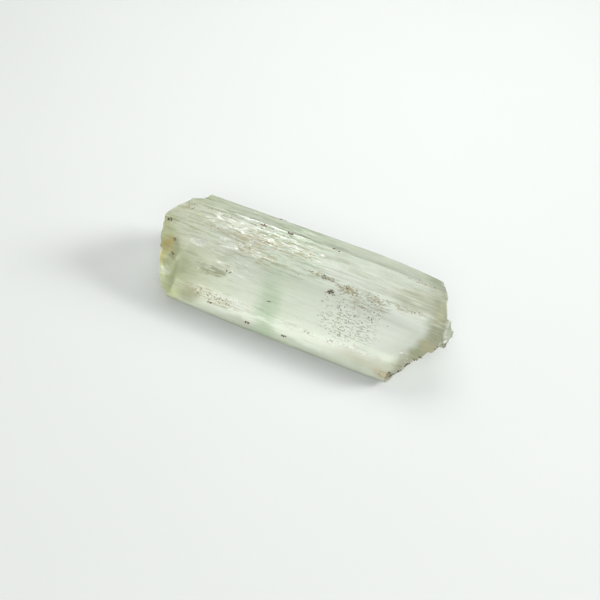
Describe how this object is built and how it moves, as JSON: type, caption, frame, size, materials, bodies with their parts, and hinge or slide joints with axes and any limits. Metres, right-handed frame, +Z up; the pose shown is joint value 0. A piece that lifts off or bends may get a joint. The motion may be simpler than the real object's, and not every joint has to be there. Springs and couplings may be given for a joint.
{
  "type": "hiddenite crystal",
  "caption": "Long pale green spodumene prism with striated sides, hackly broken ends and a flat underside that it rests on.",
  "frame": {"origin": "under the middle of the crystal's box, on the surface that it rests on", "axes": "+X along the prism, towards the obliquely broken end; +Y from the bevelled front face towards the back; +Z up from the resting face"},
  "size_m": [0.0304, 0.0108, 0.007],
  "materials": {
    "hiddenite_crystal": "clear, pale green, with fine growth striations along the prism and rough broken ends"
  },
  "bodies": {
    "root": {"hiddenite_crystal": "hiddenite_crystal"}
  },
  "joints": []
}
